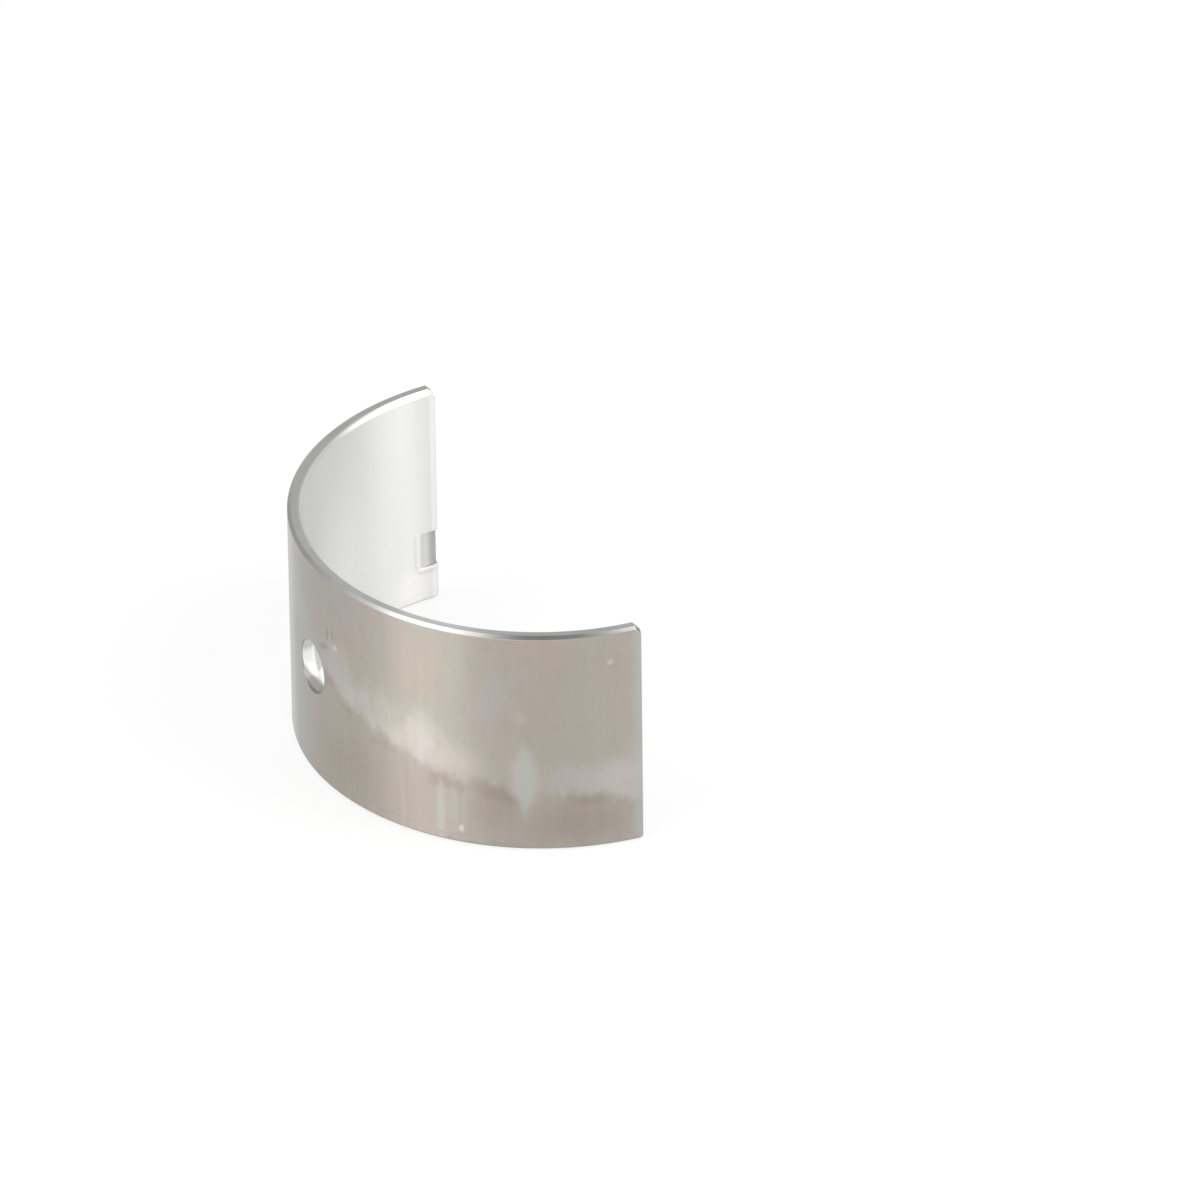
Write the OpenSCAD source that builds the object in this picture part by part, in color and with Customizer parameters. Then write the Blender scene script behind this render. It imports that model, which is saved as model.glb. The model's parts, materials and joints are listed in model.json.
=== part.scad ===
// Half shell of a plain crankpin bearing, standing on one end face.
// The Z axis is the bearing axis, with the lower end face at z = 0.
// The crown, where the oil hole is, points to -Y and the joint faces look to +Y.
// The shell is drawn as it leaves the box: sprung open a little, before a housing closes it.

/* [Shell] */
// Bore of the housing that the shell is pressed into
housing_d = 64; // [56:0.5:80]
// Thickness of the wall, back to lining
wall_t = 2; // [1.5:0.05:3]
// Width of the shell along the bearing axis
shell_w = 32.2; // [26:0.1:44]
// How much wider than the housing bore the free shell measures across its joint faces
free_spread = 1.5; // [0.3:0.1:3]

/* [Edges] */
// Chamfer between the end faces and the back
back_chamfer = 0.45; // [0.1:0.05:0.55]
// Chamfer between the end faces and the lining
lining_chamfer = 0.65; // [0.2:0.05:0.85]
// Length along the arc of the relief that eases the lining at each joint face
relief_len = 0.9; // [0.4:0.1:2]
// Depth of that relief at the joint face
relief_depth = 0.15; // [0.05:0.05:0.4]
// Corner break where the joint faces meet the upper end face
upper_break = 0.7; // [0.1:0.05:1.2]
// Corner break where the joint faces meet the lower end face
lower_break = 0.2; // [0.1:0.05:1.2]

/* [Oil hole] */
// Diameter of the drilled hole at the crown
oil_hole_d = 6.8; // [3:0.1:10]
// Chamfer round both mouths of the hole
oil_hole_chamfer = 0.4; // [0.1:0.05:0.6]

/* [Locating tang] */
// Width of the tang along the bearing axis
tang_w = 5.2; // [3:0.1:8]
// Length of the tang along the arc, from its root to the joint face
tang_len = 2.8; // [2:0.1:5]
// How far the tang stands out of the back at the joint face
tang_rise = 0.8; // [0.3:0.05:1]
// Height of the tang's lower side above the lower end face
tang_z = 5.5; // [3:0.1:12]

/* [Hidden] */
$fn = 180;

// The back keeps the length of half the housing's circumference when the shell springs open.
// Half the angle that it then spans follows from the width across the joint faces.
half_turn = 180;
quarter_turn = 90;
crown_angle = 270;
solve_steps = 10;
function half_span_after(steps, angle) =
    steps == 0 ? angle
    : half_span_after(steps - 1, quarter_turn * housing_d * sin(angle) / (housing_d + free_spread));
half_span = half_span_after(solve_steps, quarter_turn);
back_r = housing_d / 2 * quarter_turn / half_span;
lining_r = back_r - wall_t;
tang_joint = crown_angle - half_span;
plain_joint = crown_angle + half_span;

// The tang is the wall itself, lanced on both sides and bent out about its root on the lining.
function arc_angle(arc, r) = arc / r * half_turn / PI;
root_angle = tang_joint + arc_angle(tang_len, lining_r);
risen_t = wall_t + tang_rise;
bend_angle = acos(wall_t / norm([risen_t, tang_len])) - atan2(tang_len, risen_t);
bend_margin = arc_angle(tang_len, lining_r) / 2;
root_x = lining_r * cos(root_angle);
root_y = lining_r * sin(root_angle);

// How far cutting shapes run past the metal that they cut
overrun = 1;
oil_hole_z = shell_w / 2;

// Section of the wall, with radius along X and the bearing axis along Y
module wall_section() {
    polygon([
        [lining_r, lining_chamfer],
        [lining_r + lining_chamfer, 0],
        [back_r - back_chamfer, 0],
        [back_r, back_chamfer],
        [back_r, shell_w - back_chamfer],
        [back_r - back_chamfer, shell_w],
        [lining_r + lining_chamfer, shell_w],
        [lining_r, shell_w - lining_chamfer]
    ]);
}

module half_ring() {
    rotate([0, 0, tang_joint])
        rotate_extrude(angle = 2 * half_span)
            wall_section();
}

// Part of a thick ring, at the height of the tang
module tang_sector(from_angle, to_angle, r_min, r_max) {
    translate([0, 0, tang_z])
        rotate([0, 0, from_angle])
            rotate_extrude(angle = to_angle - from_angle)
                translate([r_min, 0])
                    square([r_max - r_min, tang_w]);
}

// A round of the given radius, turned outwards about the root of the tang
module bent_round(r) {
    translate([root_x, root_y, tang_z - overrun])
        rotate([0, 0, bend_angle])
            translate([-root_x, -root_y, 0])
                cylinder(r = r, h = tang_w + 2 * overrun);
}

// What the bent wall adds to the back
module tang_lug() {
    intersection() {
        bent_round(back_r);
        tang_sector(tang_joint, root_angle + bend_margin, lining_r + wall_t / 2, back_r + 2 * tang_rise);
    }
}

// What the bent wall leaves open in the lining
module tang_recess() {
    intersection() {
        bent_round(lining_r);
        tang_sector(tang_joint - bend_margin, root_angle + bend_margin, lining_r / 2, back_r + tang_rise);
    }
}

// Puts a shape at both joint faces, with X along the radius and the metal on the +Y side
module at_joint_faces() {
    rotate([0, 0, tang_joint])
        children();
    rotate([0, 0, plain_joint])
        mirror([0, 1, 0])
            children();
}

// Wedge that eases the lining next to a joint face
module lining_relief() {
    translate([0, 0, -overrun])
        linear_extrude(height = shell_w + 2 * overrun)
            polygon([
                [lining_r + relief_depth, -overrun],
                [lining_r + relief_depth, 0],
                [lining_r - relief_depth, 2 * relief_len],
                [lining_r - relief_depth, -overrun]
            ]);
}

// Prism that breaks the corner of a joint face at height z, where side is 1 above and -1 below
module corner_break(z, leg, side) {
    translate([lining_r - overrun, 0, z])
        rotate([90, 0, 90])
            linear_extrude(height = wall_t + tang_rise + 2 * overrun)
                polygon([
                    [-leg, -2 * leg * side],
                    [2 * leg, leg * side],
                    [-leg, leg * side]
                ]);
}

module joint_face_cuts() {
    lining_relief();
    corner_break(shell_w, upper_break, 1);
    corner_break(0, lower_break, -1);
}

// Drilled hole through the crown, opened by a cone at the back and one at the lining
module oil_hole() {
    hole_r = oil_hole_d / 2;
    mouth_r = hole_r + oil_hole_chamfer;
    cone_h = oil_hole_chamfer + overrun;
    translate([0, 0, oil_hole_z])
        rotate([90, 0, 0]) {
            translate([0, 0, lining_r - overrun])
                cylinder(r = hole_r, h = wall_t + 2 * overrun);
            translate([0, 0, back_r - oil_hole_chamfer])
                cylinder(r1 = hole_r, r2 = mouth_r + overrun, h = cone_h);
            translate([0, 0, lining_r - overrun])
                cylinder(r1 = mouth_r + overrun, r2 = hole_r, h = cone_h);
        }
}

module bearing_shell() {
    color("silver")
        difference() {
            union() {
                half_ring();
                tang_lug();
            }
            tang_recess();
            at_joint_faces()
                joint_face_cuts();
            oil_hole();
        }
}

bearing_shell();
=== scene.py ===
import json
import math

import bmesh
import bpy
import numpy as np
from mathutils import Matrix, Vector


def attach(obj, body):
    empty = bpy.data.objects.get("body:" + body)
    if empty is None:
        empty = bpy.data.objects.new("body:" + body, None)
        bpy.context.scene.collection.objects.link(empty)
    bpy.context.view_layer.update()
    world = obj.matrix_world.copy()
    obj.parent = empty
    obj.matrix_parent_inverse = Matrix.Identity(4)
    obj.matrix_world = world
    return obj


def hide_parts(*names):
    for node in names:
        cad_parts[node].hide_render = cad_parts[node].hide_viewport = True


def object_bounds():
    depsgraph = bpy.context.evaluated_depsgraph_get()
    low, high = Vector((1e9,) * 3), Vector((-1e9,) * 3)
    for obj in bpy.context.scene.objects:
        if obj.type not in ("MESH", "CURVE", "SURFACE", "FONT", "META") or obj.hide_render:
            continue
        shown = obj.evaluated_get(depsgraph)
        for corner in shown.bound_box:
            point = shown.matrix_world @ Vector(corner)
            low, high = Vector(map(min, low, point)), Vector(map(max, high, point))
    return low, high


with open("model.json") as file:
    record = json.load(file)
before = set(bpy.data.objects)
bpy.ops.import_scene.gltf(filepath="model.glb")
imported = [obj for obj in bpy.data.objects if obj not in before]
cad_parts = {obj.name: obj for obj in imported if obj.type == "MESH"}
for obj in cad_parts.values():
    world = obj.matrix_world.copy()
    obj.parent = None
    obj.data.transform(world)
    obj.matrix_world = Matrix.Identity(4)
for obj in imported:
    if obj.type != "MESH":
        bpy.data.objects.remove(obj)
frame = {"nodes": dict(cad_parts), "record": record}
cadLow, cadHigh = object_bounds()
scene = bpy.context.scene
scene.view_settings.view_transform = "Standard"
mm = 0.001
mountOf = {mount["name"]: mount for mount in frame["record"]["mounts"]}

cadMesh = frame["nodes"]["bearing_shell"].data
cadPoints = np.empty(len(cadMesh.vertices) * 3, np.float32)
cadMesh.vertices.foreach_get("co", cadPoints)
cadPoints = cadPoints.reshape(-1, 3) / mm
plainSide = cadPoints[cadPoints[:, 0] > 0]  # the half without the tang
jointAxis = mountOf["plain_joint_face"]["axis"]
print("frame loaded, box in mm:", [round(side / mm, 2) for side in cadHigh - cadLow])


# The shell, in mm. Arc lengths run along the back from the crown, positive towards the plain joint.
shellShape = {
    "backR": float(np.hypot(plainSide[:, 0], plainSide[:, 1]).max()),
    "liningR": mountOf["journal_seat"]["dims"]["r_mm"],
    "width": cadHigh.z / mm,
    "halfSpan": math.atan2(jointAxis[1], jointAxis[0]),
    "backEdge": 0.45,
    "liningEdge": 0.65,
    "cornerEase": 0.08,  # rounding where two cut faces of the section meet
    "jointEase": 0.1,  # rounding round the joint faces
    "jointInset": 0.16,  # last ring of the wall, on the flat of a joint face, from its outline
    "reliefLength": 0.9,
    "reliefDepth": 0.15,
    "upperBreak": 0.7,
    "lowerBreak": 0.2,
    "breakFade": (1.2, 4.0),  # distance from a rim over which the pull of its corner breaks dies away
    "holeR": mountOf["oil_hole"]["dims"]["r_mm"],
    "holeZ": mountOf["oil_hole"]["pos_m"][2] / mm,
    "holeChamfer": 0.4,
    "holeEase": 0.07,
    "holePatch": 4.9,  # half side of the square of wall that the hole's rings fill
    "holeRings": 9,  # rings from that square to the mouth
    "ringCrowding": 1.4,  # above 1, the rings lie closer together near the mouth
    "mouthRounds": 6,  # rounds in which the mouth is found, to a millionth of a mm
    "tangWidth": 5.2,
    "tangLength": 2.8,
    "tangRise": 0.8,
    "tangZ": 5.5,
    "shearBlur": 0.1,  # how far a sheared side of the tang leans
    "lipRise": 0.05,  # metal pushed up on the lining beside the recess
    "lipSpread": 0.3,
    "lipOffset": 0.42,  # middle of a lip, from the edge of the recess
    "rootLipShare": 0.6,  # height of the root's lip, as a share of the foot's
    "curveSteps": 6,
    # grid of the wall: zones reach from a rim, a side of the tang or a joint, and gaps lie between lines
    "grid": {
        "rimZone": 0.75, "lipZone": 1.4, "sideZone": 0.6, "jointZone": 1.2, "tangZone": 4.2,
        "shearGap": 0.025, "jointGap": 0.1, "lipGap": 0.12, "sideGap": 0.15,
        "bandGap": 0.5, "holeGap": 0.55, "heightGap": 0.7, "arcGap": 0.9,
    },
}


def easedCorner(start, corner, end, steps):
    # quadratic curve: (1-k)^2 of the start, 2k(1-k) of the corner and k^2 of the end, for k from 0 to 1
    k = np.linspace(0, 1, steps).reshape((-1,) + (1,) * np.ndim(corner))
    return (1 - k) ** 2 * start + 2 * k * (1 - k) * corner + k**2 * end


def unitRows(rows):
    # each row divided by its own length
    return rows / np.linalg.norm(rows, axis=-1, keepdims=True)


def blurredStep(value, low, high):
    # smooth step: 0 below low, 1 above high, 3k^2 - 2k^3 between them
    k = np.clip((value - low) / (high - low), 0, 1)
    return k * k * (3 - 2 * k)


def gridLines(*stretches):
    # evenly spaced values from the low to the high end of each stretch, no further apart than its gap,
    # with shared ends only once
    pieces = [np.linspace(low, high, math.ceil((high - low) / gap) + 1) for low, high, gap in stretches]
    return np.unique(np.concatenate(pieces).round(5))


def gridQuads(index):
    # four corners of every cell of an index grid, with its last column joined to its first
    right = np.roll(index, -1, axis=1)
    return np.stack([index[:-1], right[:-1], right[1:], index[1:]], axis=-1)


def wallGrid(shape):
    # heights and arc lengths of the grid lines, closer together at the joints and round the tang
    grid, blur = shape["grid"], shape["shearBlur"]
    width, holeZ, patch = shape["width"], shape["holeZ"], shape["holePatch"]
    foot, head = shape["tangZ"], shape["tangZ"] + shape["tangWidth"]
    heights = gridLines(
        (grid["rimZone"], foot - grid["lipZone"], grid["heightGap"]),
        (foot - grid["lipZone"], foot - blur, grid["lipGap"]),
        (foot - blur, foot + blur, grid["shearGap"]),
        (foot + blur, foot + grid["sideZone"], grid["sideGap"]),
        (foot + grid["sideZone"], head - grid["sideZone"], grid["bandGap"]),
        (head - grid["sideZone"], head - blur, grid["sideGap"]),
        (head - blur, head + blur, grid["shearGap"]),
        (head + blur, holeZ - patch, grid["bandGap"]),
        (holeZ - patch, holeZ + patch, grid["holeGap"]),
        (holeZ + patch, width - grid["rimZone"], grid["heightGap"]),
    )
    half, ease = shape["halfSpan"] * shape["backR"], shape["jointEase"]
    arcs = gridLines(
        (-half + ease, -half + grid["jointZone"], grid["jointGap"]),
        (-half + grid["jointZone"], -half + grid["tangZone"], grid["lipGap"]),
        (-half + grid["tangZone"], -patch, grid["arcGap"]),
        (-patch, patch, grid["holeGap"]),
        (patch, half - grid["jointZone"], grid["arcGap"]),
        (half - grid["jointZone"], half - ease, grid["jointGap"]),
    )
    return heights, arcs


def wallSection(shape, heights):
    # closed outline of the wall as (depth from the lining, height): eight sides with eased corners
    wall = shape["backR"] - shape["liningR"]
    width, back, lining = shape["width"], shape["backEdge"], shape["liningEdge"]
    corner = np.array([
        [wall, back], [wall, width - back], [wall - back, width], [lining, width],
        [0, width - lining], [0, lining], [lining, 0], [wall - back, 0],
    ])
    reach = shape["cornerEase"]
    start = corner + reach * unitRows(np.roll(corner, 1, 0) - corner)
    end = corner + reach * unitRows(np.roll(corner, -1, 0) - corner)
    arcs = easedCorner(start, corner, end, shape["curveSteps"]).swapaxes(0, 1)
    backFace = np.column_stack([np.full_like(heights, wall), heights])
    liningFace = np.column_stack([np.zeros_like(heights), heights[::-1]])
    upper, lower = np.concatenate(arcs[1:5]), np.concatenate(arcs[5:8])
    outline = np.concatenate([arcs[0], backFace, upper, liningFace, lower])
    backRows = len(arcs[0]) + np.arange(len(heights))
    liningRows = backRows[-1] + len(upper) + 1 + np.arange(len(heights))
    return outline, backRows, liningRows


def tangBend(shape):
    # angle by which the lanced wall turns about its root so that its outer corner stands out by the rise
    wall = shape["backR"] - shape["liningR"]
    risen, length = wall + shape["tangRise"], shape["tangLength"]
    return math.acos(wall / math.hypot(risen, length)) - math.atan2(length, risen)


def recessLips(shape, height, pastRoot):
    # bell curves exp(-k^2) beside the foot and the root of the recess, each faded out at its ends
    spread, offset = shape["lipSpread"], shape["lipOffset"]
    foot, head = shape["tangZ"], shape["tangZ"] + shape["tangWidth"]
    footLip = np.exp(-((height - foot + offset) / spread) ** 2)
    footLip = footLip * blurredStep(pastRoot, -2 * spread, spread)
    rootLip = np.exp(-((pastRoot + offset) / spread) ** 2)
    rootLip = rootLip * blurredStep(height, foot - spread, foot + spread)
    rootLip = rootLip * (1 - blurredStep(height, head - spread, head + spread))
    return shape["lipRise"] * np.maximum(footLip, shape["rootLipShare"] * rootLip)


def wallPoints(shape, arc, depth, height):
    # bends the flat wall round the bearing axis, after the cuts at the joint faces and the tang:
    # corner breaks pull the rims in at 45 degrees, the relief opens the lining as a straight wedge,
    # and the tang shifts lining and back by the tangent of its bend times the way past its root
    wall = shape["backR"] - shape["liningR"]
    width, turn = shape["width"], arc / shape["backR"]
    toTang = (turn + shape["halfSpan"]) * shape["liningR"]
    toPlain = (shape["halfSpan"] - turn) * shape["liningR"]
    toJoint = np.minimum(toTang, toPlain)
    fadeStart, fadeEnd = shape["breakFade"]
    nearTop = blurredStep(height, width - fadeEnd, width - fadeStart)
    nearFoot = 1 - blurredStep(height, fadeStart, fadeEnd)
    upperCut = np.maximum(0, shape["upperBreak"] - toJoint)
    lowerCut = np.maximum(0, shape["lowerBreak"] - toJoint)
    high = height - nearTop * upperCut + nearFoot * lowerCut

    bend, lean = tangBend(shape), shape["shearBlur"] / 2
    foot, head = shape["tangZ"], shape["tangZ"] + shape["tangWidth"]
    lanced = blurredStep(height, foot - lean, foot + lean)
    lanced = lanced * (1 - blurredStep(height, head - lean, head + lean))
    pastRoot = shape["tangLength"] - toTang
    recess = lanced * np.maximum(0, pastRoot * math.tan(bend))
    lug = lanced * np.maximum(0, wall / math.cos(bend) - wall + pastRoot * math.tan(bend))
    relief = shape["reliefDepth"] * np.maximum(0, 1 - toJoint / shape["reliefLength"])
    hollow = np.maximum(recess, relief) - recessLips(shape, height, pastRoot)

    share = depth / wall  # 0 on the lining, 1 on the back
    radius = shape["liningR"] + depth + (1 - share) * hollow + share * lug
    return np.stack([radius * np.sin(turn), -radius * np.cos(turn), high], axis=-1)


def oilHoleRings(shape, arcLines, heightLines):
    # rings from the square patch on the back, over the chamfer, through the bore and out to the patch
    # on the lining: on a wall face a ring point is a weighted mean of points on the mouth and the square
    around = [
        (arcLines[:-1], np.full(len(arcLines) - 1, heightLines[0])),
        (np.full(len(heightLines) - 1, arcLines[-1]), heightLines[:-1]),
        (arcLines[:0:-1], np.full(len(arcLines) - 1, heightLines[-1])),
        (np.full(len(heightLines) - 1, arcLines[0]), heightLines[:0:-1]),
    ]
    arc = np.concatenate([side[0] for side in around])
    height = np.concatenate([side[1] for side in around])
    bearing = np.arctan2(height - shape["holeZ"], arc)
    across, up = np.cos(bearing), np.sin(bearing)
    backR, liningR = shape["backR"], shape["liningR"]
    holeR, chamfer, ease = shape["holeR"], shape["holeChamfer"], shape["holeEase"]

    def onFace(faceR, reach):
        # point of a wall face at a distance from the hole's axis
        x = reach * across
        return np.stack([x, -np.sqrt(faceR**2 - x**2), shape["holeZ"] + reach * up], axis=-1)

    def inBore(reach, depth):
        # point at a distance from the hole's axis and a distance from the bearing axis
        return np.stack([reach * across, -depth + 0 * across, shape["holeZ"] + reach * up], axis=-1)

    def mouth(faceR, side):
        # where the 45 degree cone meets the curved face: reach = rim + side * fall of the face, repeated
        reach = np.full_like(bearing, holeR + chamfer)
        for _ in range(shape["mouthRounds"]):
            reach = holeR + chamfer + side * (faceR - np.sqrt(faceR**2 - (reach * across) ** 2))
        return reach

    def facePatch(faceR, reach):
        # from the square to just outside the mouth
        share = (np.linspace(1, 0, shape["holeRings"]) ** shape["ringCrowding"])[:, None]
        near = (reach + ease)[None, :]
        x = share * faceR * np.sin(arc / backR) + (1 - share) * near * across
        z = share * height + (1 - share) * (shape["holeZ"] + near * up)
        return np.stack([x, -np.sqrt(faceR**2 - x**2), z], axis=-1)

    steps, lean = shape["curveSteps"], ease / math.sqrt(2)
    backMouth, liningMouth = mouth(backR, -1), mouth(liningR, 1)
    backCone, liningCone = backR - chamfer, liningR + chamfer
    backRim, liningRim = onFace(backR, backMouth), onFace(liningR, liningMouth)
    backTop, liningTop = inBore(holeR, backCone), inBore(holeR, liningCone)
    towardsBore = unitRows(backTop - backRim)
    towardsLining = unitRows(liningRim - liningTop)
    backOuter, liningOuter = onFace(backR, backMouth + ease), onFace(liningR, liningMouth + ease)
    return np.concatenate([
        facePatch(backR, backMouth),
        easedCorner(backOuter, backRim, backRim + ease * towardsBore, steps)[1:],
        easedCorner(backTop - lean * towardsBore, backTop, inBore(holeR, backCone - lean), steps),
        easedCorner(inBore(holeR, liningCone + lean), liningTop, liningTop + lean * towardsLining, steps),
        easedCorner(liningRim - ease * towardsLining, liningRim, liningOuter, steps)[:-1],
        facePatch(liningR, liningMouth)[::-1],
    ])


def weldedMesh(name, points, quads, ends):
    # points that fall together become one, points that no face uses are dropped, faces turn outwards
    digits = 4
    used = np.unique(np.concatenate([quads.ravel(), np.concatenate(ends)]))
    spots, place = np.unique(points[used].round(digits), axis=0, return_inverse=True)
    remap = np.zeros(len(points), int)
    remap[used] = place.ravel()
    faces = remap[quads].tolist() + [remap[end].tolist() for end in ends]
    mesh = bpy.data.meshes.new(name)
    mesh.from_pydata((spots * mm).tolist(), [], faces)
    build = bmesh.new()
    build.from_mesh(mesh)
    bmesh.ops.recalc_face_normals(build, faces=build.faces)
    openEdges = sum(not edge.is_manifold for edge in build.edges)
    build.to_mesh(mesh)
    build.free()
    mesh.polygons.foreach_set("use_smooth", np.ones(len(mesh.polygons), bool))
    mesh.update()
    print("shell mesh:", len(mesh.polygons), "faces,", openEdges, "open edges")
    return mesh


def shellMesh(shape):
    # the section carried along the arc, with the rings of the hole and the two joint faces
    heights, arcs = wallGrid(shape)
    outline, backRows, liningRows = wallSection(shape, heights)

    # the outline shrinks along a quarter round as it reaches each joint face, then once more on the flat
    half, ease = shape["halfSpan"] * shape["backR"], shape["jointEase"]
    sweep = np.linspace(0, math.pi / 2, shape["curveSteps"])[1:]
    endArc = np.append(half - ease * (1 - np.sin(sweep)), half)
    endInset = np.append(ease * (1 - np.cos(sweep)), shape["jointInset"])
    ringArc = np.concatenate([-endArc[::-1], arcs, endArc])
    ringInset = np.concatenate([endInset[::-1], np.zeros_like(arcs), endInset])
    along = unitRows(np.roll(outline, -1, 0) - np.roll(outline, 1, 0))
    inward = np.column_stack([-along[:, 1], along[:, 0]])
    depth = outline[:, 0] + ringInset[:, None] * inward[:, 0]
    height = outline[:, 1] + ringInset[:, None] * inward[:, 1]
    wall = wallPoints(shape, ringArc[:, None] + 0 * depth, depth, height)

    # wall faces, without the cells that the rings of the hole take
    index = np.arange(wall.shape[0] * wall.shape[1]).reshape(wall.shape[:2])
    holeZ, patch, tiny = shape["holeZ"], shape["holePatch"], 1e-4
    inArc = (np.abs(ringArc[:-1]) < patch - tiny) | (np.abs(ringArc[1:]) < patch - tiny)
    nextHeight = np.roll(outline[:, 1], -1)
    inHeight = np.maximum(np.abs(outline[:, 1] - holeZ), np.abs(nextHeight - holeZ)) < patch + tiny
    wallQuads = gridQuads(index)[~(inArc[:, None] & inHeight[None, :])]

    # joint faces: strips across the wall, and one many-sided face at each end of the strips
    strips, ends = [], []
    for ring in (0, -1):
        row = index[ring]
        back, lining = row[backRows], row[liningRows[::-1]]
        strips.append(np.stack([back[:-1], back[1:], lining[1:], lining[:-1]], axis=-1))
        ends.append(row[backRows[-1]:liningRows[0] + 1])
        ends.append(np.concatenate([row[liningRows[-1]:], row[:backRows[0] + 1]]))

    inPatch = np.abs(arcs) < patch + tiny
    inBand = np.abs(heights - holeZ) < patch + tiny
    rings = oilHoleRings(shape, arcs[inPatch], heights[inBand])
    ringIndex = index.size + np.arange(rings.shape[0] * rings.shape[1]).reshape(rings.shape[:2])
    quads = np.concatenate([wallQuads, *strips, gridQuads(ringIndex).reshape(-1, 4)])
    points = np.concatenate([wall.reshape(-1, 3), rings.reshape(-1, 3)])
    return weldedMesh("bearing_shell_form", points, quads, ends)


class Wire:
    # a socket of a node tree, on which Python's arithmetic adds Math nodes
    def __init__(self, tree, socket=None):
        self.tree = tree
        self.socket = socket

    def node(self, kind, settings=None, sockets=None, out=0):
        # adds a node, sets its settings first and then the values or links of its sockets
        made = self.tree.nodes.new(kind)
        for name, value in (settings or {}).items():
            if name == "stops":
                ramp = made.color_ramp.elements
                while len(ramp) < len(value):
                    ramp.new(1)
                for element, (position, colour) in zip(ramp, value):
                    element.position = position
                    element.color = colour
            elif name == "rampEase":
                made.color_ramp.interpolation = value
            else:
                setattr(made, name, value)
        for name, value in (sockets or {}).items():
            if isinstance(value, Wire):
                self.tree.links.new(value.socket, made.inputs[name])
            else:
                made.inputs[name].default_value = value
        if isinstance(out, tuple):
            return [Wire(self.tree, made.outputs[name]) for name in out]
        return Wire(self.tree, made.outputs[out]) if len(made.outputs) else made

    def maths(self, operation, *values):
        return self.node("ShaderNodeMath", {"operation": operation}, dict(enumerate(values)))

    def __add__(self, other):
        return self.maths("ADD", self, other)

    def __radd__(self, other):
        return self.maths("ADD", other, self)

    def __sub__(self, other):
        return self.maths("SUBTRACT", self, other)

    def __rsub__(self, other):
        return self.maths("SUBTRACT", other, self)

    def __mul__(self, other):
        return self.maths("MULTIPLY", self, other)

    def __rmul__(self, other):
        return self.maths("MULTIPLY", other, self)

    def __truediv__(self, other):
        return self.maths("DIVIDE", self, other)

    def __rtruediv__(self, other):
        return self.maths("DIVIDE", other, self)

    def __neg__(self):
        return self.maths("MULTIPLY", self, -1)

    def step(self, low, high):
        # smooth step from 0 at low to 1 at high
        sockets = {"Value": self, "From Min": low, "From Max": high}
        return self.node("ShaderNodeMapRange", {"interpolation_type": "SMOOTHSTEP"}, sockets)

    def stepFrom(self, base, low, high):
        # the same between two distances from a base
        return self.step(base + low, base + high)

    def mix(self, under, over):
        # colour mix, with this wire as the share of the upper colour
        return self.node("ShaderNodeMix", {"data_type": "RGBA"}, {0: self, 6: under, 7: over}, out=2)

    def scale(self, colour):
        # colour times this wire; a plain tone goes in without its alpha
        plain = colour if isinstance(colour, Wire) else colour[:3]
        return self.node("ShaderNodeVectorMath", {"operation": "SCALE"}, {0: plain, "Scale": self})


def clearedPen(owner):
    # an unwired pen for the empty node tree of a material or world
    owner.use_nodes = True
    owner.node_tree.nodes.clear()
    return Wire(owner.node_tree)


def tone(red, green, blue):
    # a colour as it is read off a screen, 0 to 255, made linear by the curve of standard screens
    share = np.array([red, green, blue]) / 255
    linear = np.where(share < 0.04045, share / 12.92, ((share + 0.055) / 1.055) ** 2.4)
    return (*linear.tolist(), 1.0)


def wallWires(pen, shape):
    # places in mm: arc from the crown, height, distances from the bearing axis and from the hole's axis,
    # and the wall laid flat, without and with its thickness
    place = pen.node("ShaderNodeTexCoord", out="Object")
    x, y, z = pen.node("ShaderNodeSeparateXYZ", None, {"Vector": place}, out=("X", "Y", "Z"))
    awayZ = z - shape["holeZ"] * mm
    height = z / mm
    radius = pen.maths("SQRT", x * x + y * y) / mm
    arc = pen.maths("ARCTAN2", x, -y) * shape["backR"]
    return {
        "arc": arc, "height": height, "radius": radius,
        "fromHole": pen.maths("SQRT", x * x + awayZ * awayZ) / mm,
        "flat": pen.node("ShaderNodeCombineXYZ", None, {"X": arc, "Y": height}),
        "solid": pen.node("ShaderNodeCombineXYZ", None, {"X": arc, "Y": height, "Z": radius}),
    }


# Noise: its scale through the wall, the middle of its range, and how fine the wandering of stains is
grainLook = {"depthScale": 0.3, "middle": 0.5, "wanderDetail": 6.0, "wanderRough": 0.62}


def grain(wall, scaleArc, scaleHeight, detail, shift):
    # noise on the wall, with its own scale along the arc and along the height
    solid = wall["solid"]
    spread = solid.node("ShaderNodeMapping", None, {
        "Vector": solid, "Location": (shift, shift, 0),
        "Scale": (scaleArc, scaleHeight, grainLook["depthScale"])})
    return solid.node("ShaderNodeTexNoise", None, {"Vector": spread, "Scale": 1.0, "Detail": detail})


def swing(noise, reach):
    # a noise about its middle, times a reach
    return (noise - grainLook["middle"]) * reach


def wandering(flat, scale, reach):
    # the flat wall, moved about by a noise, so that the edges of stains wander
    noise = flat.node("ShaderNodeTexNoise", None, {
        "Vector": flat, "Scale": scale,
        "Detail": grainLook["wanderDetail"], "Roughness": grainLook["wanderRough"]}, out="Color")
    centred = flat.node("ShaderNodeVectorMath", {"operation": "SUBTRACT"},
                        {0: flat, 1: (reach / 2, reach / 2, 0)})
    return flat.node("ShaderNodeVectorMath", {"operation": "MULTIPLY_ADD"},
                     {0: noise, 1: (reach, reach, 0), 2: centred})


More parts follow.
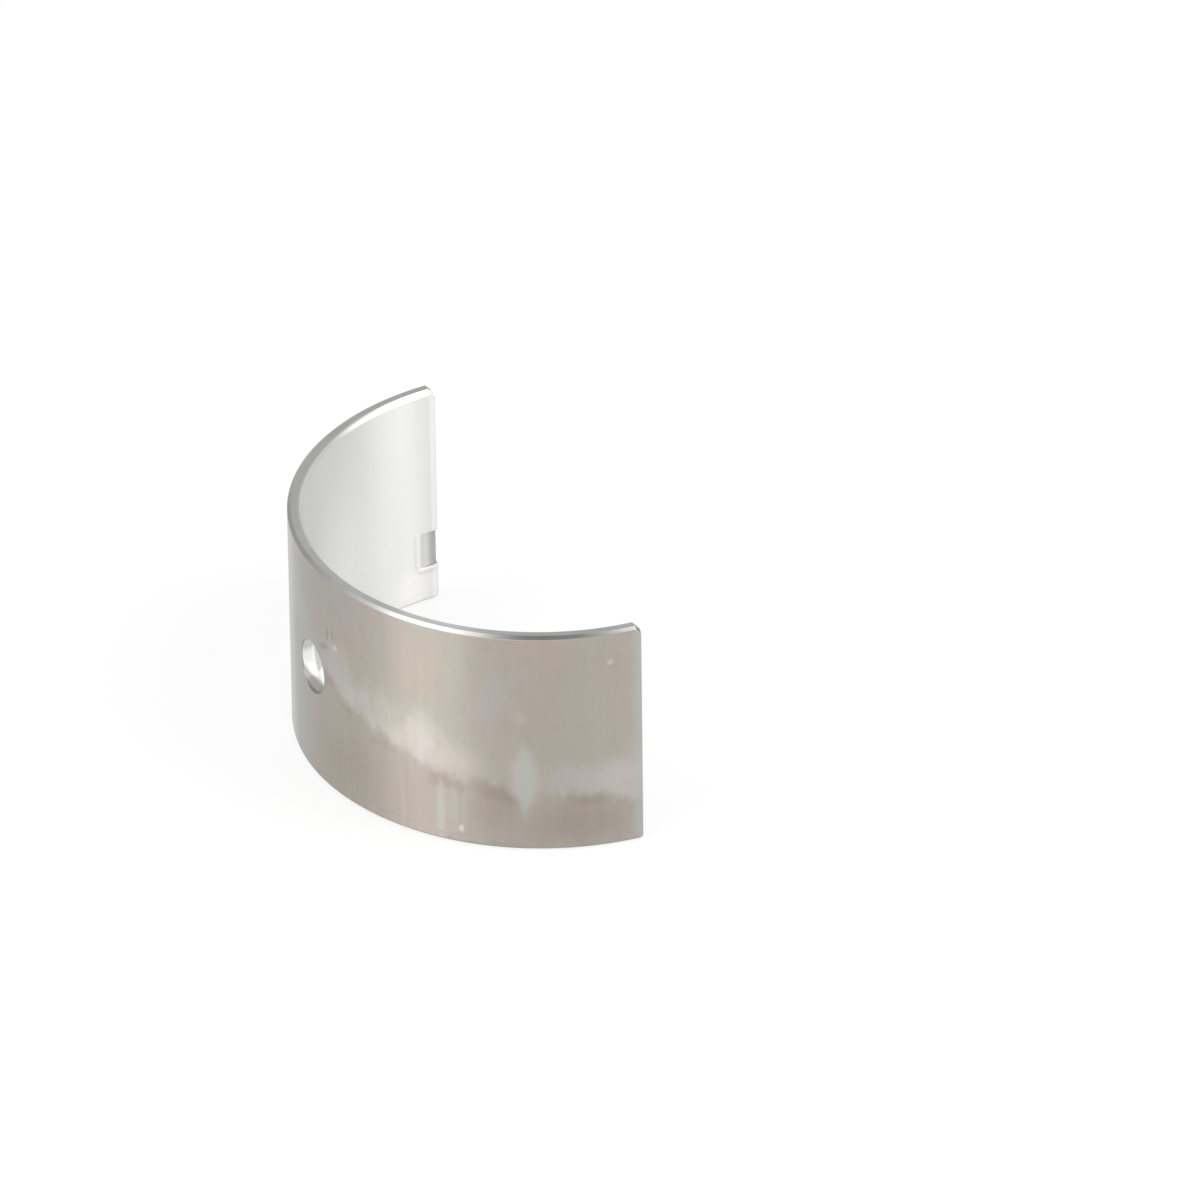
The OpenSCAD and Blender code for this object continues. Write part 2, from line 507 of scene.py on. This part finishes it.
def toneAlongArc(arc, points):
    # soft ramp along the arc by (arc, tone) points
    low, high = points[0][0], points[-1][0]
    stops = [((at - low) / (high - low), pointTone) for at, pointTone in points]
    return arc.node("ShaderNodeValToRGB", {"stops": stops, "rampEase": "B_SPLINE"},
                    {"Fac": (arc - low) / (high - low)})


def heightAlongArc(arc, points, width):
    # height by (arc, height) points, carried by a grey ramp as shares of the width
    shares = [(at, (height / width,) * 3 + (1,)) for at, height in points]
    return toneAlongArc(arc, shares) * width


def mixedStainAndSheen(under, spots, mark, pointed):
    # mixes one stain or patch of painted sheen over a colour: its mask falls from 1 to 0 across the edge of
    # a turned ellipse, or of a pointed drop, whose edge is where the way along the arc plus the square of
    # the height is 1
    arcAt, heightAt, halfArc, halfHeight, turn, markTone, strength, softness = mark
    local = spots.node("ShaderNodeMapping", {"vector_type": "TEXTURE"}, {
        "Vector": spots, "Location": (arcAt, heightAt, 0), "Rotation": (0, 0, math.radians(turn)),
        "Scale": (halfArc, halfHeight, 1)})
    if pointed:
        across, up = spots.node("ShaderNodeSeparateXYZ", None, {"Vector": local}, out=("X", "Y"))
        away = spots.maths("ABSOLUTE", across) + up * up
    else:
        away = spots.node("ShaderNodeVectorMath", {"operation": "LENGTH"}, {0: local}, out="Value")
    return (away.step(1 + softness, 1 - softness) * strength).mix(under, markTone)


def stainLayer(under, flat, layer):
    # the stains and patches of painted sheen of one layer over a colour, with edges that wander alike
    spots = wandering(flat, *layer["wander"])
    for mark in layer["stains"]:
        under = mixedStainAndSheen(under, spots, mark, layer["pointed"])
    return under


# The back, in mm. A pair under arc, height, above, noise or joint is where a mask fades from 0 to 1.
# A grain is its scale along arc and height, its detail and its shift. A share is the most a tone covers.
backLook = {
    "tone": tone(176, 168, 159),
    # cloudy patches: scale along arc and height, detail, shift, low and high end of the noise, share, tone
    "patches": [
        (0.11, 0.08, 4.0, 0.0, 0.48, 0.64, 0.6, tone(179, 168, 158)),
        (0.14, 0.09, 4.0, 37.0, 0.50, 0.64, 0.6, tone(173, 172, 160)),
        (0.12, 0.10, 4.0, 71.0, 0.52, 0.66, 0.5, tone(177, 170, 167)),
        (0.50, 0.35, 4.0, 53.0, 0.50, 0.70, 0.4, tone(169, 161, 152)),
    ],
    # cooler tint towards the tang, painted paler as painted light
    "coolSide": {"arc": (4, -8), "share": 0.9, "tone": tone(181, 182, 179)},
    # painted highlight: a pale strip towards the tang's joint
    "tangSide": {"arc": (-5, -9), "share": 0.9, "tone": tone(195, 196, 193)},
    "plainEnd": {"joint": (-2.0, -0.3), "share": 0.6, "tone": tone(177, 180, 179)},
    # brown film, whose edge follows (arc, height) points and is made ragged by drips and crumbs
    "film": {
        "tone": tone(171, 163, 154), "share": 0.92, "arc": (-7, 5), "above": (1.1, -0.9),
        "edge": [(-4, 18.6), (4, 17.6), (7, 15.8), (10, 14.2), (15, 13.4), (18, 12.0), (21, 11.2),
                 (23, 10.2), (28, 9.8), (33, 9.0), (38, 9.2), (42, 8.2), (46, 6.8), (51, 6.2)],
        "drips": (0.5, 0.09, 3.0, 41.0), "dripReach": 5.0,
        "crumbs": (1.6, 1.2, 4.0, 29.0), "crumbReach": 2.6,
    },
    "runs": {
        "grain": (1.1, 0.05, 3.0, 7.0), "noise": (0.44, 0.7), "share": 0.5, "tone": tone(177, 170, 162),
    },
    "hem": {
        "above": (-3.4, -1.2), "grain": (0.25, 0.4, 3.0, 67.0), "noise": (0.48, 0.66),
        "share": 0.6, "tone": tone(158, 148, 138),
    },
    # pale tide above the film: how high it reaches, and its tone, along the arc
    "tide": {
        "reach": [(-4, 3.0), (3, 5.0), (8, 9.5), (12, 7.0), (16, 8.5), (19, 10.0), (22, 9.5), (26, 8.5),
                  (29, 4.5), (34, 2.5), (38, 5.0), (42, 6.5), (46, 9.0), (51, 9.0)],
        "tones": [(-4, tone(174, 175, 172)), (4, tone(177, 177, 173)), (9, tone(188, 187, 181)),
                  (13, tone(188, 184, 177)), (16, tone(191, 184, 177)), (19, tone(195, 188, 182)),
                  (22, tone(192, 185, 178)), (26, tone(189, 181, 174)), (29, tone(178, 171, 162)),
                  (34, tone(176, 169, 161)), (40, tone(180, 174, 170)), (46, tone(188, 183, 178)),
                  (51, tone(185, 179, 174))],
        # shares of the reach and of the cover: the least, and what a grain adds to it
        "grain": (0.3, 0.08, 3.0, 19.0), "leastReach": 0.55, "moreReach": 0.9,
        "cloud": (0.45, 0.4, 5.0, 13.0), "noise": (0.34, 0.6), "leastCover": 0.7, "moreCover": 0.3,
        "full": 0.3,  # share of the reach up to which the tide covers most
    },
    # layers of stains: scale and reach of the wandering of their edges, then for each stain
    # arc, height, half length, half height, turn in degrees, tone, share and softness
    "stainLayers": [
        {"wander": (0.35, 3.6), "pointed": False, "stains": [
            (41.2, 15.0, 5.0, 1.7, 0, tone(169, 169, 158), 0.65, 0.8),
            (36.2, 19.5, 2.0, 4.4, 0, tone(176, 165, 155), 0.6, 0.7),
            (46.6, 26.5, 2.6, 4.2, 0, tone(176, 166, 154), 0.5, 0.7),
            (14.6, 23.0, 2.2, 2.6, 0, tone(174, 170, 158), 0.4, 0.8),
            (-0.4, 26.6, 2.6, 2.4, 0, tone(172, 167, 166), 0.35, 0.8),
            (4.0, 29.6, 6.4, 3.2, 0, tone(169, 168, 165), 0.7, 0.8),
            (25.6, 26.0, 2.6, 4.0, 0, tone(174, 171, 158), 0.45, 0.8),
            (31.4, 21.6, 3.0, 2.6, 0, tone(178, 170, 167), 0.45, 0.8),
            (42.4, 21.0, 2.6, 6.0, 0, tone(173, 170, 157), 0.45, 0.8),
            (20.0, 25.6, 2.8, 4.0, 0, tone(180, 168, 156), 0.4, 0.8),
            (9.4, 6.0, 5.6, 3.6, 0, tone(162, 152, 142), 0.4, 0.8),
            (31.0, 6.4, 2.6, 3.2, 0, tone(160, 150, 140), 0.6, 0.8),
            (42.4, 4.0, 5.4, 2.8, 0, tone(155, 145, 136), 0.6, 0.7),
            (19.6, 5.0, 2.6, 4.0, 0, tone(172, 161, 155), 0.6, 0.7),
            (24.2, 9.0, 2.2, 0.8, 0, tone(152, 141, 131), 0.5, 0.8),
            (30.6, 8.6, 2.0, 1.2, 0, tone(152, 141, 131), 0.45, 0.8),
            (43.4, 7.4, 2.6, 0.8, 0, tone(150, 139, 129), 0.5, 0.8),
            (20.9, 15.0, 1.9, 2.8, 0, tone(203, 196, 190), 0.45, 0.8),
            (17.2, 13.9, 1.6, 1.2, 0, tone(203, 197, 189), 0.4, 0.8),
            (25.8, 12.8, 2.6, 2.2, 0, tone(195, 187, 179), 0.4, 0.7),
            (47.0, 10.4, 1.9, 2.0, 0, tone(190, 185, 181), 0.45, 0.7),
        ]},
        # pale drop with pointed ends
        {"wander": (0.5, 1.4), "pointed": True, "stains": [
            (34.85, 10.9, 1.65, 5.4, 0, tone(185, 188, 182), 0.75, 0.5),
        ]},
        # thin marks, which keep their place: runs below the film's edge, scuffs by the hole and specks
        {"wander": (1.2, 0.35), "pointed": False, "stains": [
            (23.7, 4.2, 0.55, 4.4, 0, tone(181, 178, 167), 0.8, 0.6),
            (25.6, 4.4, 0.4, 4.4, 1, tone(175, 171, 160), 0.6, 0.7),
            (18.2, 6.0, 0.3, 4.4, 0, tone(176, 168, 160), 0.5, 0.8),
            (3.6, 21.2, 1.1, 0.45, 26, tone(158, 146, 138), 0.7, 0.7),
            (4.6, 23.4, 0.14, 0.9, -8, tone(134, 127, 120), 0.7, 0.8),
            (5.7, 23.9, 0.12, 0.8, 6, tone(138, 131, 124), 0.6, 0.8),
            (6.3, 22.2, 0.5, 0.4, 24, tone(206, 201, 195), 0.8, 0.7),
            (46.0, 27.7, 0.36, 0.36, 0, tone(204, 197, 189), 0.75, 0.7),
            (26.5, 2.4, 0.3, 0.5, 0, tone(214, 206, 195), 0.85, 0.7),
            (34.5, 20.0, 0.6, 0.8, 0, tone(188, 178, 170), 0.7, 0.8),
            (30.9, 10.0, 0.6, 0.5, 0, tone(182, 175, 168), 0.7, 0.8),
        ]},
    ],
    "scuffs": {
        "grain": (0.5, 2.8, 4.0, 51.0), "noise": (0.52, 0.68), "height": (4.0, 0.6),
        "share": 0.35, "tone": tone(142, 137, 131),
    },
    # brightness, and what fine grain and streaks along the axis add to it
    "bright": 0.936, "streaks": (1.3, 0.05, 4.0, 11.0), "streakBright": 0.1,
    "fine": (5.0, 2.0, 3.0, 5.0), "fineBright": 0.08,
}


def backColour(wall, look, shape, streaks):
    # cloudy grey, cooler towards the tang and painted paler there as painted light
    arc, height, width = wall["arc"], wall["height"], shape["width"]
    half = shape["halfSpan"] * shape["backR"]
    back = look["tone"]
    for scaleArc, scaleHeight, detail, shift, low, high, share, patchTone in look["patches"]:
        patch = grain(wall, scaleArc, scaleHeight, detail, shift)
        back = (patch.step(low, high) * share).mix(back, patchTone)
    # painted light: the cooler tone towards the tang is also paler than the metal
    coolSide = look["coolSide"]
    back = (arc.step(*coolSide["arc"]) * coolSide["share"]).mix(back, coolSide["tone"])

    # a pale tide above the ragged edge of the film
    film, tide, runs, hem = look["film"], look["tide"], look["runs"], look["hem"]
    drips = swing(grain(wall, *film["drips"]), film["dripReach"])
    crumbs = swing(grain(wall, *film["crumbs"]), film["crumbReach"])
    above = height - heightAlongArc(arc, film["edge"], width) - drips - crumbs
    reach = heightAlongArc(arc, tide["reach"], width)
    reach = reach * (tide["leastReach"] + grain(wall, *tide["grain"]) * tide["moreReach"])
    cloudy = grain(wall, *tide["cloud"]).step(*tide["noise"])
    cover = above.step(reach, reach * tide["full"]) * (tide["leastCover"] + cloudy * tide["moreCover"])
    back = cover.mix(back, toneAlongArc(arc, tide["tones"]))

    # the brown film, with paler runs and a darker hem
    inRuns = grain(wall, *runs["grain"]).step(*runs["noise"])
    brown = (inRuns * runs["share"]).mix(film["tone"], runs["tone"])
    inHem = above.step(*hem["above"]) * grain(wall, *hem["grain"]).step(*hem["noise"])
    brown = (inHem * hem["share"]).mix(brown, hem["tone"])
    inFilm = above.step(*film["above"]) * arc.step(*film["arc"])
    back = (inFilm * film["share"]).mix(back, brown)
    # painted highlight: the back paler towards the tang's joint, as if lit at a grazing angle
    tangSide = look["tangSide"]
    back = (arc.step(*tangSide["arc"]) * tangSide["share"]).mix(back, tangSide["tone"])

    # stains, dark streaks towards the foot and a cooler edge at the plain joint
    for layer in look["stainLayers"]:
        back = stainLayer(back, wall["flat"], layer)
    scuffs = look["scuffs"]
    streakedFoot = grain(wall, *scuffs["grain"]).step(*scuffs["noise"]) * height.step(*scuffs["height"])
    back = (streakedFoot * scuffs["share"]).mix(back, scuffs["tone"])
    plainEnd = look["plainEnd"]
    back = (arc.stepFrom(half, *plainEnd["joint"]) * plainEnd["share"]).mix(back, plainEnd["tone"])
    fine = grain(wall, *look["fine"])
    return (look["bright"] + streaks * look["streakBright"] + fine * look["fineBright"]).scale(back)


liningLook = {
    "tone": tone(210, 210, 208),
    # patches of painted light: the lining paler towards its foot near the far end
    "stainLayer": {"wander": (0.5, 2.0), "pointed": False, "stains": [
        (-46.4, 3.0, 2.8, 2.4, 0, tone(222, 220, 217), 0.7, 0.6),
        (-32.0, 8.0, 5.4, 14.0, 0, tone(226, 226, 223), 0.9, 0.8),
    ]},
    # brightness, and what bands along the axis and finer lines round it add to it
    "bright": 0.957, "bands": (0.28, 0.015, 2.0, 3.0), "bandBright": 0.08,
    "rings": (0.03, 3.6, 4.0, 61.0), "ringBright": 0.06,
    # the recess of the tang, with painted shade where it is deeper: where its tones fade in, in mm below
    # the lining
    "recessTone": tone(200, 200, 197), "recessDepth": (0.03, 0.12),
    "recessDeepTone": tone(160, 160, 158), "recessDeepDepth": (0.25, 0.6),
}


def liningColour(wall, look, shape, bands):
    # pale metal with faint bands, painted paler towards its foot as painted light, and a greyer punched
    # recess on the tang's half, darker where deeper as painted shade
    radius, height, liningR = wall["radius"], wall["height"], shape["liningR"]
    half, lean = shape["halfSpan"] * shape["backR"], shape["shearBlur"] / 2
    lining = stainLayer(look["tone"], wall["flat"], look["stainLayer"])
    rings = grain(wall, *look["rings"])
    lining = (look["bright"] + bands * look["bandBright"] + rings * look["ringBright"]).scale(lining)

    foot, head = shape["tangZ"], shape["tangZ"] + shape["tangWidth"]
    inRecess = radius.stepFrom(liningR, *look["recessDepth"]) * wall["arc"].step(0, -half / 2)
    inRecess = inRecess * height.stepFrom(foot, -lean, lean) * height.stepFrom(head, lean, -lean)
    # painted shade: darker deeper in the recess
    recessShade = radius.stepFrom(liningR, *look["recessDeepDepth"])
    return inRecess.mix(lining, recessShade.mix(look["recessTone"], look["recessDeepTone"]))


cutLook = {
    "tone": tone(176, 176, 175), "rough": 0.3,
    "bright": 0.92, "uneven": (0.35, 0.4, 4.0, 23.0), "unevenBright": 0.24,
    "chamferBlur": 0.05,  # on both sides of the line between the flat and the back's chamfer
    "chamferDull": 0.16,
    "footHeight": (0.7, 0.4), "footDull": 0.34,  # painted contact shadow on the chamfer along the foot
    "topHeight": (-1.0, -0.6),  # from the upper rim
    # stretches of painted shade, or of painted highlight with a minus, round the rim: faces, fades along
    # the arc, how much
    "stretches": [
        ("all", [(4, -20)], 0.09),
        ("top", [(29, 35), (48, 44)], 0.12),
        ("chamfer", [(20, 6)], 0.2),
        ("chamfer", [(44, 49)], 0.18),
        ("chamfer", [(24, 28), (38, 33)], 0.12),
        ("flat", [(15, 20), (31, 25)], -0.3),
    ],
}


def cutColour(wall, look, shape):
    # ground metal, uneven, with a duller chamfer, painted shade and a painted highlight in stretches round
    # the rim, and a painted contact shadow along the foot
    arc, height = wall["arc"], wall["height"]
    chamferR, blur = shape["backR"] - shape["backEdge"], look["chamferBlur"]
    chamfer = wall["radius"].stepFrom(chamferR, -blur, blur)
    top = height.stepFrom(shape["width"], *look["topHeight"])
    faces = {"all": 1, "top": top, "chamfer": chamfer, "flat": 1 - chamfer}
    # a duller chamfer, with a painted contact shadow along the foot
    dullAndPaintedLight = chamfer * (look["chamferDull"] + height.step(*look["footHeight"]) * look["footDull"])
    # painted shade, or painted highlight where the amount is below zero, in stretches round the rim
    for face, fades, amount in look["stretches"]:
        stretch = faces[face] * arc.step(*fades[0])
        for fade in fades[1:]:
            stretch = stretch * arc.step(*fade)
        dullAndPaintedLight = dullAndPaintedLight + stretch * amount
    uneven = grain(wall, *look["uneven"])
    return (look["bright"] + uneven * look["unevenBright"] - dullAndPaintedLight).scale(look["tone"])


holeLook = {
    "tone": tone(234, 234, 231), "metallic": 0.3,
    # where the hole's tones fade in, in mm from its mouth, the back and the lining
    "mouth": (0.2, 0.1), "back": (-0.01, -0.05), "lining": (0.01, 0.05),
    # where its chamfer fades in, from the bore and from the lining, whose own chamfer stays bright
    "chamferTone": tone(156, 155, 151), "chamferBore": (0.02, 0.1), "chamferLining": (0.6, 1.0),
    # painted shade at the top of the bore and at its foot, in mm below the hole's axis
    # the edge of the shade at the foot falls by its slope for each mm further in
    "top": {"below": (0.4, -1.2), "share": 0.85, "tone": tone(184, 184, 181)},
    "residue": {"below": (0.8, 2.0), "slope": 1.1, "share": 0.85, "tone": tone(112, 111, 107)},
}


def holeMasks(wall, look, shape):
    # where the hole's own tones show, and its dull chamfer at the back
    radius, fromHole = wall["radius"], wall["fromHole"]
    inHole = fromHole.stepFrom(shape["holeR"] + shape["holeChamfer"], *look["mouth"])
    inHole = inHole * radius.stepFrom(shape["backR"], *look["back"])
    inHole = inHole * radius.stepFrom(shape["liningR"], *look["lining"])
    onChamfer = fromHole.stepFrom(shape["holeR"], *look["chamferBore"])
    return inHole, onChamfer * radius.stepFrom(shape["liningR"], *look["chamferLining"])


def holeColour(wall, look, shape, onChamfer):
    # pale bore with a dull chamfer, darker at its top and at its foot as painted shade
    top, residue = look["top"], look["residue"]
    below = shape["holeZ"] - wall["height"]
    hole = (below.step(*top["below"]) * top["share"]).mix(look["tone"], top["tone"])
    hole = onChamfer.mix(hole, look["chamferTone"])
    sunk = below + (wall["radius"] - shape["backR"]) * residue["slope"]
    return (sunk.step(*residue["below"]) * residue["share"]).mix(hole, residue["tone"])


# Turned finish of back and lining: light spreads across the lines, which run round the shell
turnedLook = {
    "backRough": 0.46, "backRoughSwing": 0.12, "liningRough": 0.42, "liningRoughSwing": 0.08,
    "brushed": 0.9, "brushedTurn": 0.25,
    "lines": (0.12, 6.0, 3.0, 17.0), "lineStrength": 0.05, "lineDepth": 0.02,
    # where the finish fades in, in mm from a joint face, the back, the lining and the upper rim
    "joint": (-0.02, -0.06), "back": (-0.06, -0.02), "lining": (0.9, 0.7), "rim": (-0.1, -0.3),
}


def turnedMasks(wall, look, shape, inHole):
    # the two turned faces of the wall, without joint faces, chamfers and hole
    half = shape["halfSpan"] * shape["backR"]
    offJoints = wall["arc"].maths("ABSOLUTE", wall["arc"]).stepFrom(half, *look["joint"])
    onBack = wall["radius"].stepFrom(shape["backR"], *look["back"]) * offJoints
    onLining = wall["radius"].stepFrom(shape["liningR"], *look["lining"]) * (1 - inHole) * offJoints
    return onBack, onLining * wall["height"].stepFrom(shape["width"], *look["rim"])


def bearingMetal(shape):
    # two finishes, turned on the wall's faces and ground on what is cut, mixed by where they are
    material = bpy.data.materials.new("bearing_metal")
    pen = clearedPen(material)
    wall = wallWires(pen, shape)
    inHole, onChamfer = holeMasks(wall, holeLook, shape)
    cut = inHole.mix(cutColour(wall, cutLook, shape), holeColour(wall, holeLook, shape, onChamfer))
    cutMetal = pen.node("ShaderNodeBsdfPrincipled", None, {
        "Base Color": cut, "Roughness": cutLook["rough"],
        "Metallic": 1 - inHole * (1 - onChamfer) * (1 - holeLook["metallic"])}, out="BSDF")

    look = turnedLook
    onBack, onLining = turnedMasks(wall, look, shape, inHole)
    streaks, bands = grain(wall, *backLook["streaks"]), grain(wall, *liningLook["bands"])
    back = backColour(wall, backLook, shape, streaks)
    lining = liningColour(wall, liningLook, shape, bands)
    backRough = look["backRough"] + swing(streaks, look["backRoughSwing"])
    liningRough = look["liningRough"] + swing(bands, look["liningRoughSwing"])
    bump = pen.node("ShaderNodeBump", None, {
        "Strength": look["lineStrength"], "Distance": look["lineDepth"] * mm,
        "Height": grain(wall, *look["lines"])})
    turnedMetal = pen.node("ShaderNodeBsdfPrincipled", None, {
        "Base Color": onLining.mix(back, lining),
        "Roughness": backRough + onLining * (liningRough - backRough),
        "Metallic": 1.0, "Normal": bump,
        "Anisotropic": look["brushed"], "Anisotropic Rotation": look["brushedTurn"]}, out="BSDF")
    onWall = pen.maths("MAXIMUM", onBack, onLining)
    metal = pen.node("ShaderNodeMixShader", None, {0: onWall, 1: cutMetal, 2: turnedMetal})
    pen.node("ShaderNodeOutputMaterial", None, {"Surface": metal})
    return material


shell = bpy.data.objects.new("bearing_shell_finish", shellMesh(shellShape))
scene.collection.objects.link(shell)
shell.data.materials.append(bearingMetal(shellShape))
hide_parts("bearing_shell")
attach(shell, "root")
print("shell dressed")


# The stage, in metres: a round floor whose rim sweeps up into a low wall
stageLook = {
    "discR": (0.02, 0.3), "floorR": 1.3, "coveR": 0.35, "wallHeight": 0.5, "coveSteps": 17, "turnSteps": 96,
    "floorTone": (0.78, 0.78, 0.78, 1), "glow": 0.8,
}


def stageMesh(look):
    # surface of revolution: a flat disc, a quarter-round cove and a straight wall, turned about Z
    sweep = np.linspace(0, math.pi / 2, look["coveSteps"])
    coveR = look["floorR"] + look["coveR"] * np.sin(sweep)
    coveZ = look["coveR"] * (1 - np.cos(sweep))
    profileR = np.concatenate([look["discR"], coveR, [coveR[-1]]])
    profileZ = np.concatenate([[0, 0], coveZ, [look["wallHeight"]]])
    turn = np.linspace(0, 2 * math.pi, look["turnSteps"], endpoint=False)
    points = np.stack([
        profileR[:, None] * np.cos(turn), profileR[:, None] * np.sin(turn), profileZ[:, None] + 0 * turn,
    ], axis=-1)
    index = np.arange(points.shape[0] * points.shape[1]).reshape(points.shape[:2])
    mesh = bpy.data.meshes.new("stage_form")
    faces = gridQuads(index)[..., ::-1].reshape(-1, 4).tolist() + [index[0].tolist()]
    mesh.from_pydata(points.reshape(-1, 3).tolist(), [], faces)
    mesh.polygons.foreach_set("use_smooth", np.ones(len(mesh.polygons), bool))
    return mesh


def stagePaper(look):
    # white paper: what the camera and reflections see of it is partly glow, the rest keeps the shadow
    material = bpy.data.materials.new("stage_paper")
    material.cycles.emission_sampling = "NONE"
    pen = clearedPen(material)
    rays = pen.node("ShaderNodeLightPath", out=("Is Camera Ray", "Is Glossy Ray", "Is Transmission Ray"))
    seen = pen.maths("MAXIMUM", pen.maths("MAXIMUM", rays[0], rays[1]), rays[2])
    paper = pen.node("ShaderNodeBsdfDiffuse", None, {"Color": look["floorTone"]})
    glow = pen.node("ShaderNodeEmission", None, {"Color": (1, 1, 1, 1), "Strength": 1.0})
    mixed = pen.node("ShaderNodeMixShader", None, {0: seen * look["glow"], 1: paper, 2: glow})
    pen.node("ShaderNodeOutputMaterial", None, {"Surface": mixed})
    return material


stage = bpy.data.objects.new("stage", stageMesh(stageLook))
scene.collection.objects.link(stage)
stage.data.materials.append(stagePaper(stageLook))
print("stage laid")


# The camera turns about the bearing axis: azimuth 0 looks along +Y. Distances are in metres.
cameraView = {
    "azimuth": 65.545, "elevation": 32.368, "roll": -0.716, "lens": 467.2, "sensor": 36,
    "distance": 2.0149, "aim": (-3.987 * mm, 9.774 * mm, 12.105 * mm), "clipEnd": 20,
}


def turnedView(azimuth, elevation, roll):
    # camera axes as columns, right, up and back: rolled about the line of sight, raised, turned about Z
    turn = Matrix.Rotation(math.radians(azimuth), 3, "Z")
    rise = Matrix.Rotation(math.radians(90 - elevation), 3, "X")
    return turn @ rise @ Matrix.Rotation(math.radians(roll), 3, "Z")


lens = bpy.data.cameras.new("camera")
lens.lens = cameraView["lens"]
lens.sensor_width = cameraView["sensor"]
lens.clip_end = cameraView["clipEnd"]
camera = bpy.data.objects.new("camera", lens)
scene.collection.objects.link(camera)
facing = turnedView(cameraView["azimuth"], cameraView["elevation"], cameraView["roll"])
spot = Vector(cameraView["aim"]) + cameraView["distance"] * (facing @ Vector((0, 0, 1)))
camera.matrix_world = Matrix.Translation(spot) @ facing.to_4x4()
scene.camera = camera
print("camera set")


# Two tall soft boxes as the camera sees them, up to the left and right, in a pale room
lampSetup = {
    "boxes": {
        "soft_box_left": {"side": -55, "elevation": 40, "lean": 10, "distance": 1.0,
                          "width": 0.6, "height": 1.1, "power": 5.8},
        "soft_box_right": {"side": 72, "elevation": 40, "lean": 6, "distance": 1.0,
                           "width": 0.57, "height": 1.1, "power": 6.4},
    },
    "roomGrey": 0.86,
    # round areas of the room: side and elevation, grey, and the cosines between which the area fades in
    "areas": [
        {"side": 4, "elevation": 26, "grey": 2.25, "edge": (0.81, 0.97)},
        {"side": -94, "elevation": 30, "grey": 1.3, "edge": (0.86, 0.97)},
        {"side": 0, "elevation": 66, "grey": 0.2, "edge": (0.82, 0.97)},
    ],
}


def softBox(name, side, elevation, lean, distance, width, height, power):
    # lamp that faces the shell; side is its turn from the camera's azimuth
    lamp = bpy.data.lights.new(name, "AREA")
    lamp.shape = "RECTANGLE"
    lamp.size = width
    lamp.size_y = height
    lamp.energy = power
    holder = bpy.data.objects.new(name, lamp)
    scene.collection.objects.link(holder)
    turned = turnedView(cameraView["azimuth"] + side, elevation, lean)
    holder.matrix_world = Matrix.Translation(distance * (turned @ Vector((0, 0, 1)))) @ turned.to_4x4()


def studioRoom(setup):
    # grey all round, with areas of another grey, each a smooth step of the cosine to its middle
    world = bpy.data.worlds.new("studio")
    pen = clearedPen(world)
    looking = pen.node("ShaderNodeTexCoord", out="Generated")
    grey = setup["roomGrey"]
    for area in setup["areas"]:
        middle = turnedView(cameraView["azimuth"] + area["side"], area["elevation"], 0) @ Vector((0, 0, 1))
        cosine = pen.node("ShaderNodeVectorMath", {"operation": "DOT_PRODUCT"},
                          {0: looking, 1: middle}, out="Value")
        grey = grey + cosine.step(*area["edge"]) * (area["grey"] - grey)
    backdrop = pen.node("ShaderNodeBackground", None, {"Color": grey})
    pen.node("ShaderNodeOutputWorld", None, {"Surface": backdrop})
    return world


for boxName, box in lampSetup["boxes"].items():
    softBox(boxName, **box)
scene.world = studioRoom(lampSetup)
print("lamps set")
